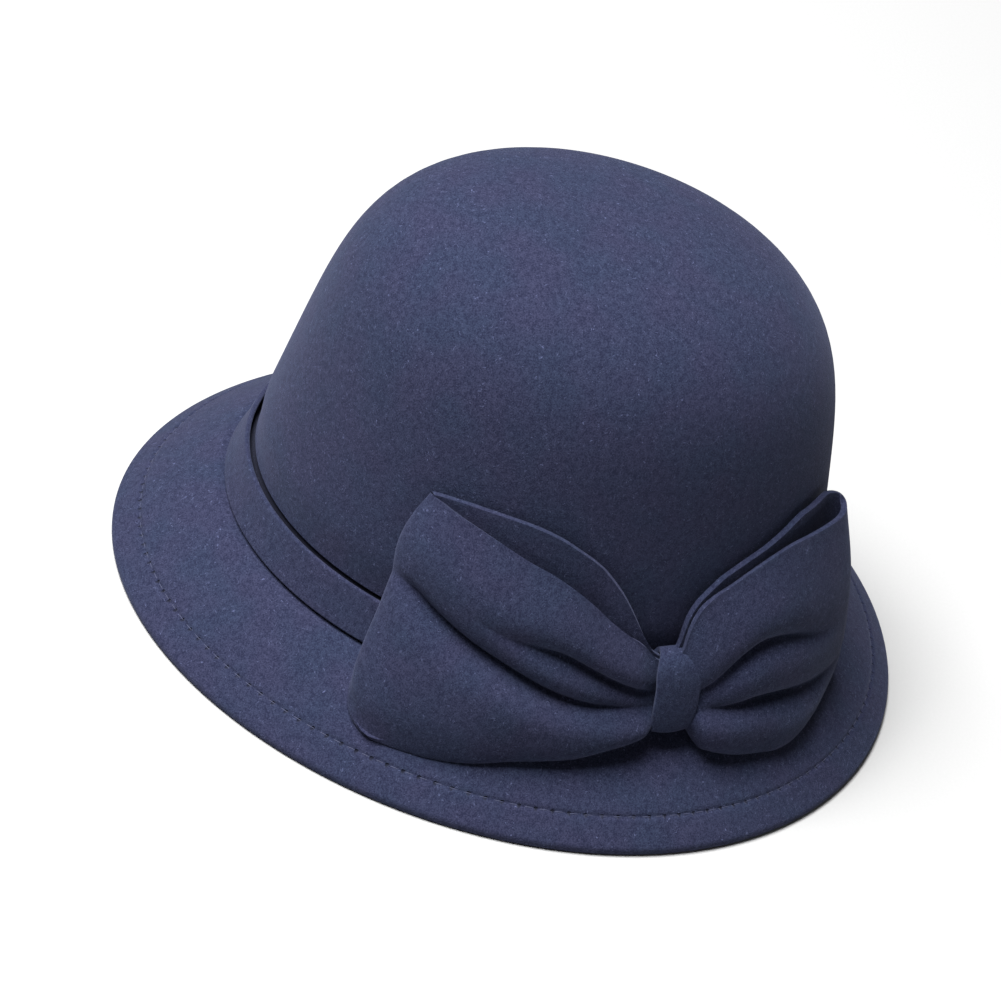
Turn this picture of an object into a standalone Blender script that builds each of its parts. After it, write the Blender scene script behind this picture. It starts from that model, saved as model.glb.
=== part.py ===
"""A felt cloche hat with a flat band and a side bow, resting on the edge of its brim.

Metres, +Z up. The front of the hat faces -Y and the wearer's left is +X. The origin is under
the middle of the brim's outline, on the surface that the hat rests on. Turns are counted round
the hat in radians from its front, through the wearer's left.
"""

import bmesh
import bpy
import numpy as np

MM = 0.001
FULL_TURN = 2.0 * np.pi

# Felt thicknesses, and the gap that separate pieces keep
BODY_FELT = 2.2 * MM
TRIM_FELT = 1.8 * MM
BOW_FELT = 2.0 * MM
GAP = 0.3 * MM

# The oval of the crown at the band's upper edge, measured over the felt
HALF_LENGTH = 99.0 * MM
HALF_WIDTH = 83.7 * MM

# Crown
BAND_TOP = 42.7 * MM
CROWN_TOP = 158.8 * MM
CROWN_TAPER = 0.2133
CROWN_HOLLOWING = 0.0128
SHOULDER_POWER = 6.87
DOME_POWER = 2.4
LEAN_FORWARD = 6.6 * MM
LEAN_RIGHT = 0.7 * MM
SEAT_FADE = 0.14

# Band and brim
BAND_BOTTOM = 28.7 * MM
BAND_FLARE = 4.8 * MM
BRIM_REACH = 38.7 * MM
BRIM_CROWNING = 0.7 * MM
HEM_RADIUS = 2.3 * MM
HEM_WIDTH = 13.5 * MM
REST_DEPTH = 0.4 * MM

# How the brim's reach varies round the hat: waves per turn, cosine part, sine part
BRIM_WAVES = (
    (1, -3.3 * MM, 0.5 * MM),
    (2, -0.6 * MM, 2.6 * MM),
    (3, 1.5 * MM, 0.0 * MM),
)

# Knot: place of its middle along the oval from the front, and its cross-section
KNOT_PLACE = 180.0
KNOT_HEIGHT = 45.8
KNOT_HALF_HEIGHT = 14.6
KNOT_STAND = 7.1
KNOT_HALF_DEPTH = 5.9
KNOT_SQUARENESS = 5.0
KNOT_WIDTH = 13.0
KNOT_LEAN = 0.2
LEAN_FADE = 30.0

# Bow, in millimetres. Heights are above the rest surface, and a stand is the distance that the
# felt's middle keeps from the hat, measured level.
BOW_START = 0.4
REAR_STAND = 2.3
REAR_STAND_AT_KNOT = 4.9
REAR_STAND_EASE = 22.0
REAR_STAND_ON_BRIM = 5.0
EDGE_STAND = 6.4
LAYERS_APART = 2.5
HOOK = 2.2
CREASE_WIDTH = 4.6
CREASE_TIP = 0.9
LAY_WINDOW = 7.0

# One row for each section across a loop, from the knot out to its fold.
# reach: distance from the knot's middle.  top, rear_top: upper edges of the front and rear layers.
# low, rear_low: lowest point of the front layer and lower edge of the rear one.
# lip, swell, belly: stand of the front layer at its upper edge, upper lobe and lower lobe.
# fold_a, deep_a, fold_b, deep_b: height and depth of the upper and the lower crease.
COLUMNS = (
    "reach", "top", "rear_top", "low", "rear_low", "lip", "swell", "belly",
    "fold_a", "deep_a", "fold_b", "deep_b",
)
FRONT_LOOP = (
    (0, 56.5, 56.5, 35.5, 36.0, 7.8, 10.0, 10.0, 46.5, 1.5, 42.5, 2.0),
    (7, 57.0, 57.0, 34.5, 35.5, 7.8, 10.2, 10.4, 46.0, 2.5, 41.5, 3.0),
    (12, 61.0, 61.5, 29.5, 33.0, 7.6, 12.0, 14.0, 46.0, 5.0, 40.5, 6.5),
    (22, 67.0, 74.5, 24.8, 30.0, 7.2, 13.5, 17.0, 49.0, 6.5, 39.5, 9.0),
    (40, 76.5, 87.5, 20.5, 27.0, 7.0, 14.0, 18.0, 54.0, 5.0, 41.5, 9.5),
    (55, 82.0, 91.8, 18.5, 24.0, 7.0, 14.0, 18.0, 57.0, 0.5, 45.0, 8.0),
    (70, 86.5, 92.5, 16.5, 21.0, 6.5, 12.5, 17.0, 62.0, 0.0, 51.0, 6.0),
    (86, 90.0, 91.0, 14.5, 17.0, 5.5, 9.5, 13.0, 66.0, 0.0, 58.0, 2.5),
    (95, 90.5, 90.5, 14.0, 15.5, 5.0, 8.0, 11.0, 67.0, 0.0, 59.0, 0.0),
)
BACK_LOOP = (
    (0, 56.5, 56.5, 35.5, 36.0, 7.8, 10.0, 10.0, 45.5, 1.5, 39.5, 1.5),
    (7, 57.5, 57.5, 34.5, 35.5, 7.6, 10.2, 10.4, 46.0, 2.5, 39.0, 2.5),
    (12, 68.0, 71.0, 29.0, 33.0, 6.8, 11.5, 13.5, 47.5, 5.0, 38.0, 5.5),
    (22, 80.0, 86.0, 24.0, 30.0, 6.0, 13.0, 16.0, 51.0, 6.5, 36.5, 7.0),
    (38, 87.5, 93.0, 19.5, 26.0, 5.6, 13.5, 16.5, 54.0, 4.5, 34.5, 6.5),
    (52, 89.0, 94.5, 17.5, 22.5, 6.0, 13.5, 16.0, 52.0, 1.5, 31.0, 4.5),
    (66, 89.5, 93.0, 17.5, 20.0, 6.2, 12.0, 14.0, 50.0, 0.0, 29.0, 2.0),
    (80, 90.0, 90.5, 20.0, 21.0, 6.2, 9.5, 12.0, 50.0, 0.0, 30.0, 0.0),
)
# Reach of each loop's outer fold: share of the way down the fold, reach
FRONT_FOLD = ((0.0, 90.5), (0.35, 94.5), (0.70, 88.5), (1.0, 83.0))
BACK_FOLD = ((0.0, 77.0), (0.30, 75.5), (0.60, 78.0), (0.85, 76.0), (1.0, 67.0))
FRONT_ROLL = 13.0
BACK_ROLL = 9.0

# Shares of the way down a loop at which its named lines run
SHARE_SWELL, SHARE_FOLD_A, SHARE_FOLD_B, SHARE_BELLY, SHARE_LOW = 0.18, 0.36, 0.56, 0.76, 0.92
UNDERSIDE_SHARE = 0.62
LOOP_ACROSS = (
    0.0, 0.07, 0.14, 0.21, 0.28, 0.325, 0.36, 0.395, 0.44, 0.48, 0.525, 0.56, 0.595,
    0.64, 0.70, 0.76, 0.82, 0.88, 0.92, 0.965, 1.0,
)

# Mesh densities
SEGMENTS = 64
CROWN_RINGS = 13
ARC_SAMPLES = 721
FRONT_STATIONS = (
    0.0, 0.05, 0.10, 0.15, 0.20, 0.26, 0.33, 0.40, 0.48, 0.56, 0.64, 0.72, 0.80, 0.87, 0.94, 1.0,
)
REAR_STATIONS = (1.0, 0.80, 0.58, 0.36, 0.22, 0.14, 0.09, 0.0)
FOLD_STATIONS = 6

NAVY = (0.040, 0.050, 0.105, 1.0)


def clear_scene():
    for scene_object in list(bpy.data.objects):
        bpy.data.objects.remove(scene_object, do_unlink=True)


def felt(name):
    """A Principled material for one piece of dyed wool felt."""
    material = bpy.data.materials.new(name)
    material.use_nodes = True
    shader = material.node_tree.nodes["Principled BSDF"]
    shader.inputs["Base Color"].default_value = NAVY
    shader.inputs["Roughness"].default_value = 0.95
    shader.inputs["Metallic"].default_value = 0.0
    return material


def add_piece(name, points, faces):
    """Makes one smooth-shaded object with its own felt from points and faces."""
    mesh = bpy.data.meshes.new(name)
    mesh.from_pydata([tuple(point) for point in points], [], faces)
    mesh.update()
    built = bmesh.new()
    built.from_mesh(mesh)
    bmesh.ops.recalc_face_normals(built, faces=built.faces)
    built.to_mesh(mesh)
    built.free()
    mesh.shade_smooth()
    piece = bpy.data.objects.new(name, mesh)
    mesh.materials.append(felt(name + "_felt"))
    bpy.context.scene.collection.objects.link(piece)
    return piece


def grid_faces(rows, columns, wrap_rows=False, wrap_columns=False):
    """Quads of a grid of points stored row after row, with either way joined end to end."""
    faces = []
    for row in range(rows if wrap_rows else rows - 1):
        for column in range(columns if wrap_columns else columns - 1):
            next_row = (row + 1) % rows
            next_column = (column + 1) % columns
            faces.append((
                row * columns + column,
                row * columns + next_column,
                next_row * columns + next_column,
                next_row * columns + column,
            ))
    return faces


def add_sheet(name, grid, thickness, wrap_rows=False, wrap_columns=False):
    """Makes a piece of felt from the grid of its middle surface, thickened both ways."""
    rows, columns = grid.shape[:2]
    faces = grid_faces(rows, columns, wrap_rows, wrap_columns)
    sheet = add_piece(name, grid.reshape(-1, 3), faces)
    wall = sheet.modifiers.new("Felt", "SOLIDIFY")
    wall.thickness = thickness
    wall.offset = 0.0
    wall.use_rim = True
    return sheet


def smooth(at, places, values):
    """A smooth curve through the values at the places, read at other places."""
    places = np.asarray(places, float)
    values = np.asarray(values, float)
    slopes = np.gradient(values, places)
    cell = np.clip(np.searchsorted(places, at) - 1, 0, len(places) - 2)
    width = places[cell + 1] - places[cell]
    t = np.clip((at - places[cell]) / width, 0.0, 1.0)
    return (
        (1 + 2 * t) * (1 - t) ** 2 * values[cell]
        + t * (1 - t) ** 2 * width * slopes[cell]
        + t * t * (3 - 2 * t) * values[cell + 1]
        + t * t * (t - 1) * width * slopes[cell + 1]
    )


def brim_reach(turn):
    """Distance of the brim's edge beyond the crown's oval."""
    reach = BRIM_REACH + 0.0 * turn
    for waves, cosine, sine in BRIM_WAVES:
        reach = reach + cosine * np.cos(waves * turn) + sine * np.sin(waves * turn)
    return reach


def outline_middle():
    """Middle of the box round the brim's edge, from the middle of the crown's oval."""
    turn = np.linspace(0.0, FULL_TURN, ARC_SAMPLES)
    reach = brim_reach(turn)
    across = (HALF_WIDTH + reach) * np.sin(turn)
    along = -(HALF_LENGTH + reach) * np.cos(turn)
    return (across.max() + across.min()) / 2, (along.max() + along.min()) / 2


MIDDLE_X, MIDDLE_Y = outline_middle()


def oval_point(turn, beyond, height, scale=1.0, lean=0.0):
    """Point beyond the crown's oval; scale shrinks the oval and lean is the share of the lean."""
    x = (HALF_WIDTH * scale + beyond) * np.sin(turn) - LEAN_RIGHT * lean - MIDDLE_X
    y = -(HALF_LENGTH * scale + beyond) * np.cos(turn) - LEAN_FORWARD * lean - MIDDLE_Y
    return np.stack(np.broadcast_arrays(x, y, height), axis=-1)


def crown_scale(rise):
    """Size of the crown's oval at a share of the way from the band to the top."""
    taper = 1 - CROWN_TAPER * rise + CROWN_HOLLOWING * rise**2
    return taper * (1 - rise**SHOULDER_POWER) ** (1 / DOME_POWER)


def crown_rows():
    """Rises of the crown's rings, evenly spaced along its profile, with the profile's normals."""
    rise = 1 - np.linspace(1.0, 0.0, ARC_SAMPLES) ** 3
    radius = crown_scale(rise) * (HALF_LENGTH + HALF_WIDTH) / 2
    height = rise * (CROWN_TOP - BAND_TOP)
    steps = np.hypot(np.diff(radius), np.diff(height))
    arc = np.concatenate([[0.0], np.cumsum(steps)])
    places = np.linspace(0.0, arc[-1], CROWN_RINGS + 1)
    slope_r = np.gradient(radius, arc)
    slope_z = np.gradient(height, arc)
    return [
        (np.interp(s, arc, rise), np.interp(s, arc, slope_z), -np.interp(s, arc, slope_r))
        for s in places
    ]


def crown_ring(turn, row, depth):
    """Ring of the crown at one row, sunk into the felt by the depth."""
    rise, out, up = row
    height = BAND_TOP + rise * (CROWN_TOP - BAND_TOP) - depth * up
    return oval_point(turn, -depth * out, height, crown_scale(rise), rise)


def seat_depth(rise):
    """How far the crown is drawn in under the band at a rise."""
    ease = np.clip(1 - rise / SEAT_FADE, 0.0, 1.0)
    return (TRIM_FELT + GAP) * ease**2 * (3 - 2 * ease)


def hem_middle(turn):
    """Centre of the rounded fold at the brim's edge: reach beyond the oval, and height."""
    return brim_reach(turn) - HEM_RADIUS, HEM_RADIUS - REST_DEPTH


def brim_slope(turn):
    """Angle at which the brim falls away from the band."""
    reach, height = hem_middle(turn)
    run = reach - BAND_FLARE
    drop = BAND_BOTTOM - height
    tilt = np.arctan2(drop, run)
    return tilt + np.arcsin(HEM_RADIUS / np.hypot(run, drop))


def brim_ring(turn, share, depth):
    """Ring of the brim at a share of the way from the band to its hem, sunk by the depth."""
    reach, height = hem_middle(turn)
    slope = brim_slope(turn)
    out, up = np.sin(slope), np.cos(slope)
    end_reach = reach + HEM_RADIUS * out
    end_height = height + HEM_RADIUS * up
    sink = depth - BRIM_CROWNING * np.sin(np.pi * share)
    beyond = BAND_FLARE + share * (end_reach - BAND_FLARE) - sink * out
    level = BAND_BOTTOM + share * (end_height - BAND_BOTTOM) - sink * up
    return oval_point(turn, beyond, level)


def brim_share(turn, inside):
    """Share of the way down the brim that lies a given distance inside its hem's end."""
    reach, height = hem_middle(turn)
    slope = brim_slope(turn)
    run = reach + HEM_RADIUS * np.sin(slope) - BAND_FLARE
    drop = BAND_BOTTOM - height - HEM_RADIUS * np.cos(slope)
    return 1 - inside / np.hypot(run, drop)


def hem_ring(turn, angle):
    """Ring of the hem's rounded fold; the angle runs from level outwards, down to -90 degrees."""
    reach, height = hem_middle(turn)
    level = np.maximum(height + HEM_RADIUS * np.sin(angle), 0.0)
    return oval_point(turn, reach + HEM_RADIUS * np.cos(angle), level)


def cove_ring(turn, share, depth):
    """Ring on the face that the band covers, from its upper edge down, sunk by the depth."""
    fall = BAND_TOP - BAND_BOTTOM
    length = np.hypot(BAND_FLARE, fall)
    out, up = fall / length, BAND_FLARE / length
    level = BAND_TOP - share * fall - depth * up
    return oval_point(turn, share * BAND_FLARE - depth * out, level)


def felt_body():
    """Crown and brim pressed from one felt hood, with the brim's edge turned under."""
    turn = np.arange(SEGMENTS) * FULL_TURN / SEGMENTS
    rows = crown_rows()
    seat = TRIM_FELT + GAP
    crown = rows[:-1][::-1]
    slope = brim_slope(turn)
    upper = np.pi / 2 - slope
    lower = upper - np.pi
    rest_angle = -np.arccos(0.5)
    hem_share = brim_share(turn, HEM_WIDTH)
    hem_depth = 2 * HEM_RADIUS
    rings = [crown_ring(turn, row, seat_depth(row[0])) for row in crown]
    rings += [cove_ring(turn, 0.55, seat), cove_ring(turn, 1.03, seat)]
    rings += [brim_ring(turn, 0.12, 0.45 * seat)]
    rings += [brim_ring(turn, share, 0.0) for share in (0.28, 0.50, 0.75, 1.0)]
    rings += [hem_ring(turn, upper * 0.35), hem_ring(turn, -0.45)]
    rings += [hem_ring(turn, rest_angle), hem_ring(turn, -np.pi - rest_angle)]
    rings += [hem_ring(turn, lower)]
    rings += [brim_ring(turn, (1 + hem_share) / 2, hem_depth), brim_ring(turn, hem_share, hem_depth)]
    rings += [brim_ring(turn, hem_share - 0.02, BODY_FELT)]
    rings += [brim_ring(turn, share, BODY_FELT) for share in (0.45, 0.22)]
    rings += [cove_ring(turn, share, seat + BODY_FELT) for share in (0.9, 0.4)]
    rings += [crown_ring(turn, row, seat_depth(row[0]) + BODY_FELT) for row in crown[::-1]]
    top = oval_point(0.0, 0.0, CROWN_TOP, 0.0, 1.0)
    inner_top = oval_point(0.0, 0.0, CROWN_TOP - BODY_FELT, 0.0, 1.0)
    points = np.concatenate([top[None], *rings, inner_top[None]])
    faces = [tuple(index + 1 for index in face) for face in grid_faces(len(rings), SEGMENTS, False, True)]
    last = len(points) - 1
    final_ring = last - SEGMENTS
    for column in range(SEGMENTS):
        after = (column + 1) % SEGMENTS
        faces.append((0, 1 + after, 1 + column))
        faces.append((last, final_ring + column, final_ring + after))
    return add_piece("felt_body", points, faces)


def band():
    """Flat strip of felt round the foot of the crown."""
    turn = np.arange(SEGMENTS) * FULL_TURN / SEGMENTS
    grid = np.stack([cove_ring(turn, share, TRIM_FELT / 2) for share in (0.0, 1.0)])
    return add_sheet("band", grid, TRIM_FELT, wrap_columns=True)


def turn_at(place):
    """Turn round the hat at a distance in millimetres along the crown's oval from its front."""
    turn = np.linspace(0.0, FULL_TURN, ARC_SAMPLES)
    oval = np.stack([HALF_WIDTH * np.sin(turn), HALF_LENGTH * np.cos(turn)], axis=-1)
    steps = np.linalg.norm(np.diff(oval, axis=0), axis=1)
    arc = np.concatenate([[0.0], np.cumsum(steps)])
    return np.interp(np.asarray(place) * MM, arc, turn)


def lay_point(turn, height, stand):
    """Point that stands off the trimmed hat by a level distance, over a softened cove."""
    total = 0.0
    window = np.linspace(-1.0, 1.0, 7) * LAY_WINDOW * MM
    for shift in window:
        level = height + shift
        rise = np.clip((level - BAND_TOP) / (CROWN_TOP - BAND_TOP), 0.0, 1.0)
        share = np.clip((BAND_TOP - level) / (BAND_TOP - BAND_BOTTOM), 0.0, 1.0)
        fall = np.clip((BAND_BOTTOM - level) / BAND_BOTTOM, 0.0, 1.0)
        beyond = share * BAND_FLARE + fall * (brim_reach(turn) - BAND_FLARE)
        total = total + oval_point(turn, beyond + stand, height, crown_scale(rise), rise)
    return total / len(window)


def bow_point(side, reach, height, stand):
    """Point of the bow from its reach beside the knot, its height and its stand in millimetres."""
    lean = KNOT_LEAN * (height - KNOT_HEIGHT) * np.exp(-((reach / LEAN_FADE) ** 2))
    turn = turn_at(KNOT_PLACE + side * reach - lean)
    return lay_point(turn, height * MM, stand * MM)


def crease(distance):
    """Depth share of a crease at a distance from its line, with a small round bottom."""
    softened = np.sqrt(distance**2 + CREASE_TIP**2) - CREASE_TIP
    return np.exp(-softened / CREASE_WIDTH)


def bow_loop(name, side, table, fold_line, roll):
    """Strip of felt folded back on itself, gathered into two creases at the knot."""
    section = dict(zip(COLUMNS, np.array(table, float).T))
    down = np.array(LOOP_ACROSS)
    shares, reaches = np.array(fold_line).T
    fold_reach = smooth(down, shares, reaches)

    def column(name, reach):
        return smooth(reach, section["reach"], section[name])

    def front_layer(reach):
        top, low = column("top", reach), column("low", reach)
        fold_a, fold_b = column("fold_a", reach), column("fold_b", reach)
        marks = (0.0, SHARE_FOLD_A, SHARE_FOLD_B, SHARE_LOW, 1.0)
        levels = np.stack([top, fold_a, fold_b, low, low + HOOK])
        height = np.array([np.interp(d, marks, levels[:, k]) for k, d in enumerate(down)])
        lip, swell, belly = column("lip", reach), column("swell", reach), column("belly", reach)
        between = (swell + belly) / 2
        stands = np.stack([lip, swell, between, belly, UNDERSIDE_SHARE * belly, EDGE_STAND + 0 * lip])
        places = (0.0, SHARE_SWELL, (SHARE_FOLD_A + SHARE_FOLD_B) / 2, SHARE_BELLY, SHARE_LOW, 1.0)
        stand = np.array([smooth(d, places, stands[:, k]) for k, d in enumerate(down)])
        stand = stand - column("deep_a", reach) * crease(height - fold_a)
        stand = stand - column("deep_b", reach) * crease(height - fold_b)
        return height, np.maximum(stand, rear_layer(reach)[1] + LAYERS_APART)

    def rear_layer(reach):
        top, low = column("rear_top", reach), column("rear_low", reach)
        height = top + (low - top) * down
        ease = np.minimum(1.5 * np.clip(1 - reach / REAR_STAND_EASE, 0.0, 1.0), 1.0)
        on_brim = np.clip(1 - height / (BAND_BOTTOM / MM), 0.0, 0.3) / 0.3
        stand = REAR_STAND + (REAR_STAND_AT_KNOT - REAR_STAND) * ease
        return height, np.maximum(stand, REAR_STAND + (REAR_STAND_ON_BRIM - REAR_STAND) * on_brim)

    rolled = np.linspace(0.0, np.pi, FOLD_STATIONS + 2)[1:-1]
    stations = [(share, 1.0, 0.0) for share in FRONT_STATIONS]
    stations += [(1.0, np.cos(angle), np.sin(angle)) for angle in rolled]
    stations += [(share, -1.0, 0.0) for share in REAR_STATIONS]
    rows = []
    for share, facing, outward in stations:
        reach = BOW_START + (fold_reach - roll - BOW_START) * share + roll * outward
        front_height, front_stand = front_layer(reach)
        rear_height, rear_stand = rear_layer(reach)
        blend = (1 + facing) / 2
        height = rear_height + (front_height - rear_height) * blend
        stand = rear_stand + (front_stand - rear_stand) * blend
        rows.append(bow_point(side, reach, height, stand))
    return add_sheet(name, np.stack(rows), BOW_FELT)


def knot():
    """Short strip of felt wrapped round the middle of the bow."""
    angle = np.arange(24) * FULL_TURN / 24
    power = 2 / KNOT_SQUARENESS
    depth = np.sign(np.cos(angle)) * np.abs(np.cos(angle)) ** power
    rise = np.sign(np.sin(angle)) * np.abs(np.sin(angle)) ** power
    height = KNOT_HEIGHT + KNOT_HALF_HEIGHT * rise
    stand = KNOT_STAND + KNOT_HALF_DEPTH * depth
    rows = []
    for across in np.linspace(-0.5, 0.5, 5) * KNOT_WIDTH:
        place = KNOT_PLACE + across - KNOT_LEAN * (height - KNOT_HEIGHT)
        rows.append(lay_point(turn_at(place), height * MM, stand * MM))
    return add_sheet("bow_knot", np.stack(rows), TRIM_FELT, wrap_columns=True)


def main():
    clear_scene()
    felt_body()
    band()
    bow_loop("bow_loop_front", -1, FRONT_LOOP, FRONT_FOLD, FRONT_ROLL)
    bow_loop("bow_loop_back", 1, BACK_LOOP, BACK_FOLD, BACK_ROLL)
    knot()


main()
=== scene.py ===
"""A felt cloche hat with a flat band and a gathered side bow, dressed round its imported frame.

Metres, +Z up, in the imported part's own frame: the front of the hat faces -Y, the wearer's left is
+X, and the origin lies under the middle of the brim on the surface that it rests on. Turns are
counted round the hat in radians from its front, through the wearer's left.
"""

from __future__ import annotations

import logging
import math
from collections.abc import Callable, Iterator, Sequence
from contextlib import contextmanager
from dataclasses import dataclass, field
from enum import Enum
from typing import ClassVar

import bpy
import numpy as np
from mathutils import Matrix, Vector

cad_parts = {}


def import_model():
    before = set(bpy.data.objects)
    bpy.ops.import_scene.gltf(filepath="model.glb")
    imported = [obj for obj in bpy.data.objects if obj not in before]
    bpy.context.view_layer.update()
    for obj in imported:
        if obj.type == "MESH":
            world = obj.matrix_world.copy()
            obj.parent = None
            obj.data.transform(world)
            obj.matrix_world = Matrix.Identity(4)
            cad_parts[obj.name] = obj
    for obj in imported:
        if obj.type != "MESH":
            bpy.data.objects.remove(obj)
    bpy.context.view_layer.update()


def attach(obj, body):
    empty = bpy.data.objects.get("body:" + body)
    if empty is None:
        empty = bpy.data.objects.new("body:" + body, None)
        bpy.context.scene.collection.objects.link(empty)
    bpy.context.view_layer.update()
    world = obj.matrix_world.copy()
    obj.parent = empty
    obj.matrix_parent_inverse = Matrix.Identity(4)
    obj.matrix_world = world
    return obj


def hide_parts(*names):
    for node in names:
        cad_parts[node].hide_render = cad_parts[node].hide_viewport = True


LOG = logging.getLogger("cloche")
ROOT = "root"
MM = 0.001
FULL_TURN = 2.0 * math.pi
UP = Vector((0, 0, 1))

Array = np.ndarray
Pair = tuple[float, float]
Triple = tuple[float, float, float]
Piece = bpy.types.Object
Socket = bpy.types.NodeSocket
Links = dict[str | int, object]


class Node(str, Enum):
    """The frame's nodes, by name."""

    BODY = "felt_body"
    BAND = "band"
    LOOP_FRONT = "bow_loop_front"
    LOOP_BACK = "bow_loop_back"
    KNOT = "bow_knot"


class Slot(str, Enum):
    """The record's material slots."""

    BODY = "body_felt"
    TRIM = "trim_felt"
    BOW = "bow_felt"


class Side(Enum):
    """Which way a bow loop reaches from the knot along the hat's oval."""

    FRONT = -1
    BACK = 1


class SeamMark(Enum):
    """What the seam's UV map says across the stitches where there is no brim top."""

    ELSEWHERE = 50.0
    # TUCKED marks the felt tucked behind the band, which the body's material darkens as painted
    # shade.
    TUCKED = 100.0


def linear(code: str) -> tuple[float, float, float, float]:
    """Turns an sRGB hex colour into linear red, green and blue, with an alpha of 1."""
    digits = code.lstrip("#")
    values = [int(digits[i : i + 2], 16) / 255 for i in (0, 2, 4)]
    red, green, blue = (
        v / 12.92 if v <= 0.04045 else ((v + 0.055) / 1.055) ** 2.4 for v in values
    )
    return red, green, blue, 1.0


def smooth_curve(at: Array, places: Sequence[float], values: Array) -> Array:
    """Reads a smooth curve through the values at the places.

    Args:
        at: where to read it.
        places: rising places of the known values.
        values: the values, one for each place.

    Returns:
        The curve's value at each element of at.
    """
    places, values = np.asarray(places, float), np.asarray(values, float)
    slopes = np.gradient(values, places)
    cell = np.clip(np.searchsorted(places, at) - 1, 0, len(places) - 2)
    width = places[cell + 1] - places[cell]
    t = np.clip((at - places[cell]) / width, 0.0, 1.0)
    return (
        (1 + 2 * t) * (1 - t) ** 2 * values[cell]
        + t * (1 - t) ** 2 * width * slopes[cell]
        + t * t * (3 - 2 * t) * values[cell + 1]
        + t * t * (t - 1) * width * slopes[cell + 1]
    )


def ease(t: Array) -> Array:
    """An S-shaped rise from 0 to 1 as t goes from 0 to 1."""
    t = np.clip(t, 0.0, 1.0)
    return t * t * (3 - 2 * t)


def soft_max(a: Array, b: Array, softness: float) -> Array:
    """The larger of two values, with the change between them rounded over the softness."""
    return (a + b + np.sqrt((a - b) ** 2 + softness**2)) / 2


def running_length(points: Array) -> Array:
    """The length along a line of points, from its first point to each of them."""
    steps = np.linalg.norm(np.diff(points, axis=0), axis=1)
    return np.concatenate([[0.0], np.cumsum(steps)])


def push_out(points: Array, turn: Array, distance: Array) -> None:
    """Moves points level and outwards at their turns, in place."""
    points[:, 0] += distance * np.sin(turn)
    points[:, 1] -= distance * np.cos(turn)


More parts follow.
